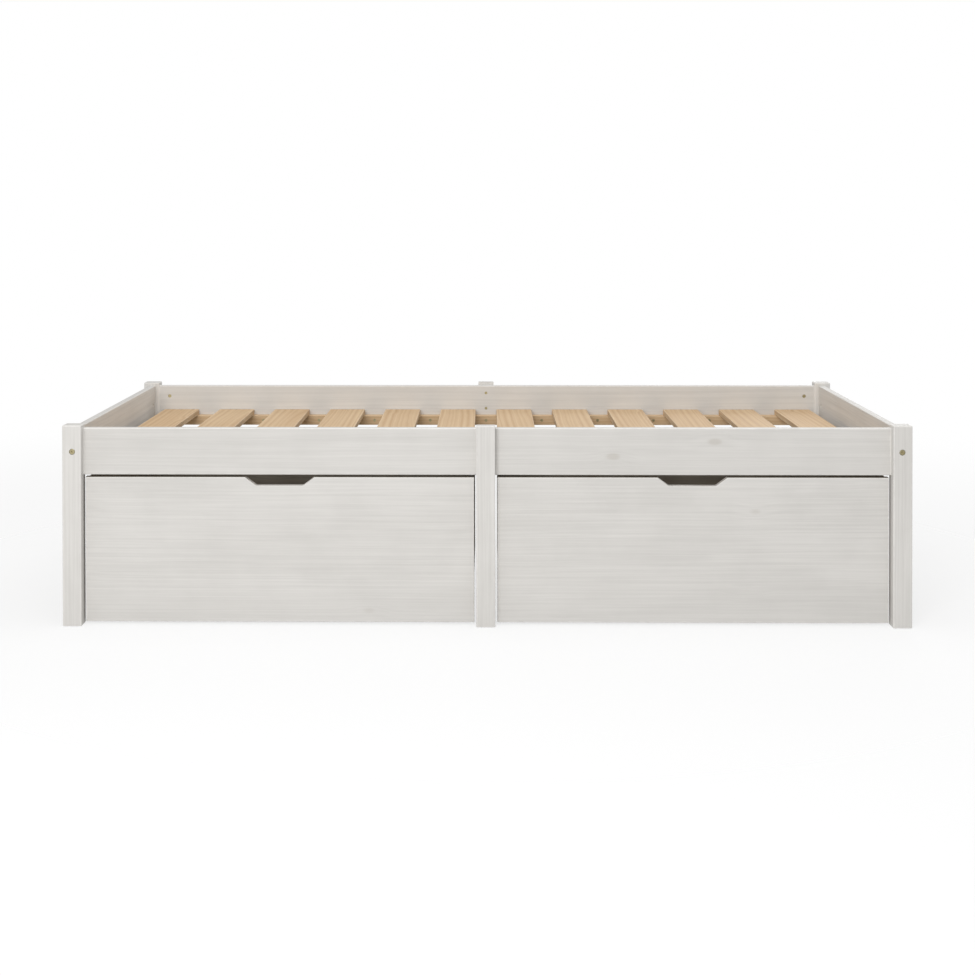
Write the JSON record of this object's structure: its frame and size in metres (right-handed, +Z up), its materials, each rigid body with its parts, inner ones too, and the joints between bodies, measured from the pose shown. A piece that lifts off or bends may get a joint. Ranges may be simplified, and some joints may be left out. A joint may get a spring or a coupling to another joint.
{
  "type": "wooden bed frame",
  "caption": "Low single bed frame of whitewashed pine: square posts, rails all round, a slatted base, and wide drawers on casters with finger notches under the front rail.",
  "frame": {"origin": "on the floor, under the middle of the bed", "axes": "+X along the bed's length, -Y towards the front with the drawers, +Z up"},
  "size_m": [1.97, 0.97, 0.468],
  "materials": {
    "whitewashed_pine": "satin whitewash lacquer over pine, the grain showing through faintly",
    "natural_pine": "planed pine, unfinished",
    "stained_pine": "thin grey-beige stain over planed pine",
    "drawer_bottom_board": "thin fibreboard, grey-brown",
    "beech_dowel": "beech, unfinished",
    "yellow_zinc": "yellow-passivated zinc on steel, satin",
    "axle_steel": "bright zinc",
    "caster_plastic": "moulded black plastic",
    "wheel_plastic": "moulded grey plastic"
  },
  "bodies": {
    "frame": {"post_front_left": "whitewashed_pine", "post_front_right": "whitewashed_pine", "post_back_left": "whitewashed_pine", "post_back_right": "whitewashed_pine", "centre_leg_front": "whitewashed_pine", "centre_leg_back": "whitewashed_pine", "side_rail_front": "whitewashed_pine", "side_rail_back": "whitewashed_pine", "end_rail_left": "whitewashed_pine", "end_rail_right": "whitewashed_pine", "slat_ledge_front": "natural_pine", "slat_ledge_back": "natural_pine", "slat_01": "natural_pine", "slat_02": "natural_pine", "slat_03": "natural_pine", "slat_04": "natural_pine", "slat_05": "natural_pine", "slat_06": "natural_pine", "slat_07": "natural_pine", "slat_08": "natural_pine", "slat_09": "natural_pine", "slat_10": "natural_pine", "slat_11": "natural_pine", "slat_12": "natural_pine", "frame_bolts": "yellow_zinc", "barrel_nuts": "yellow_zinc", "rail_dowels": "beech_dowel", "slat_screws": "yellow_zinc", "ledge_screws": "yellow_zinc", "centre_leg_screws": "yellow_zinc"},
    "drawer_left": {"drawer_left_front": "whitewashed_pine", "drawer_left_side_left": "stained_pine", "drawer_left_side_right": "stained_pine", "drawer_left_back": "stained_pine", "drawer_left_bottom": "drawer_bottom_board", "drawer_left_bearer_front": "stained_pine", "drawer_left_bearer_back": "stained_pine", "drawer_left_dowels": "beech_dowel", "drawer_left_screws": "yellow_zinc", "drawer_left_caster_housings": "caster_plastic", "drawer_left_caster_axles": "axle_steel"},
    "wheel_left_front_left": {"drawer_left_wheel_front_left": "wheel_plastic"},
    "wheel_left_front_right": {"drawer_left_wheel_front_right": "wheel_plastic"},
    "wheel_left_back_left": {"drawer_left_wheel_back_left": "wheel_plastic"},
    "wheel_left_back_right": {"drawer_left_wheel_back_right": "wheel_plastic"},
    "drawer_right": {"drawer_right_front": "whitewashed_pine", "drawer_right_side_left": "stained_pine", "drawer_right_side_right": "stained_pine", "drawer_right_back": "stained_pine", "drawer_right_bottom": "drawer_bottom_board", "drawer_right_bearer_front": "stained_pine", "drawer_right_bearer_back": "stained_pine", "drawer_right_dowels": "beech_dowel", "drawer_right_screws": "yellow_zinc", "drawer_right_caster_housings": "caster_plastic", "drawer_right_caster_axles": "axle_steel"},
    "wheel_right_front_left": {"drawer_right_wheel_front_left": "wheel_plastic"},
    "wheel_right_front_right": {"drawer_right_wheel_front_right": "wheel_plastic"},
    "wheel_right_back_left": {"drawer_right_wheel_back_left": "wheel_plastic"},
    "wheel_right_back_right": {"drawer_right_wheel_back_right": "wheel_plastic"}
  },
  "joints": [
    {"name": "drawer_left_slide", "type": "slide", "parent": "frame", "child": "drawer_left", "axis": [0, -1, 0], "range_m": [0, 0.7]},
    {"name": "wheel_left_front_left_spin", "type": "hinge", "parent": "drawer_left", "child": "wheel_left_front_left", "pos_m": [-0.858, -0.413, 0.015], "axis": [1, 0, 0], "continuous": true},
    {"name": "wheel_left_front_right_spin", "type": "hinge", "parent": "drawer_left", "child": "wheel_left_front_right", "pos_m": [-0.105, -0.413, 0.015], "axis": [1, 0, 0], "continuous": true},
    {"name": "wheel_left_back_left_spin", "type": "hinge", "parent": "drawer_left", "child": "wheel_left_back_left", "pos_m": [-0.858, 0.212, 0.015], "axis": [1, 0, 0], "continuous": true},
    {"name": "wheel_left_back_right_spin", "type": "hinge", "parent": "drawer_left", "child": "wheel_left_back_right", "pos_m": [-0.105, 0.212, 0.015], "axis": [1, 0, 0], "continuous": true},
    {"name": "drawer_right_slide", "type": "slide", "parent": "frame", "child": "drawer_right", "axis": [0, -1, 0], "range_m": [0, 0.7]},
    {"name": "wheel_right_front_left_spin", "type": "hinge", "parent": "drawer_right", "child": "wheel_right_front_left", "pos_m": [0.105, -0.413, 0.015], "axis": [1, 0, 0], "continuous": true},
    {"name": "wheel_right_front_right_spin", "type": "hinge", "parent": "drawer_right", "child": "wheel_right_front_right", "pos_m": [0.858, -0.413, 0.015], "axis": [1, 0, 0], "continuous": true},
    {"name": "wheel_right_back_left_spin", "type": "hinge", "parent": "drawer_right", "child": "wheel_right_back_left", "pos_m": [0.105, 0.212, 0.015], "axis": [1, 0, 0], "continuous": true},
    {"name": "wheel_right_back_right_spin", "type": "hinge", "parent": "drawer_right", "child": "wheel_right_back_right", "pos_m": [0.858, 0.212, 0.015], "axis": [1, 0, 0], "continuous": true}
  ],
  "couplings": [
    {"joint": "wheel_left_front_left_spin", "follows": "drawer_left_slide", "rad_per_m": 66.667},
    {"joint": "wheel_left_front_right_spin", "follows": "drawer_left_slide", "rad_per_m": 66.667},
    {"joint": "wheel_left_back_left_spin", "follows": "drawer_left_slide", "rad_per_m": 66.667},
    {"joint": "wheel_left_back_right_spin", "follows": "drawer_left_slide", "rad_per_m": 66.667},
    {"joint": "wheel_right_front_left_spin", "follows": "drawer_right_slide", "rad_per_m": 66.667},
    {"joint": "wheel_right_front_right_spin", "follows": "drawer_right_slide", "rad_per_m": 66.667},
    {"joint": "wheel_right_back_left_spin", "follows": "drawer_right_slide", "rad_per_m": 66.667},
    {"joint": "wheel_right_back_right_spin", "follows": "drawer_right_slide", "rad_per_m": 66.667}
  ]
}
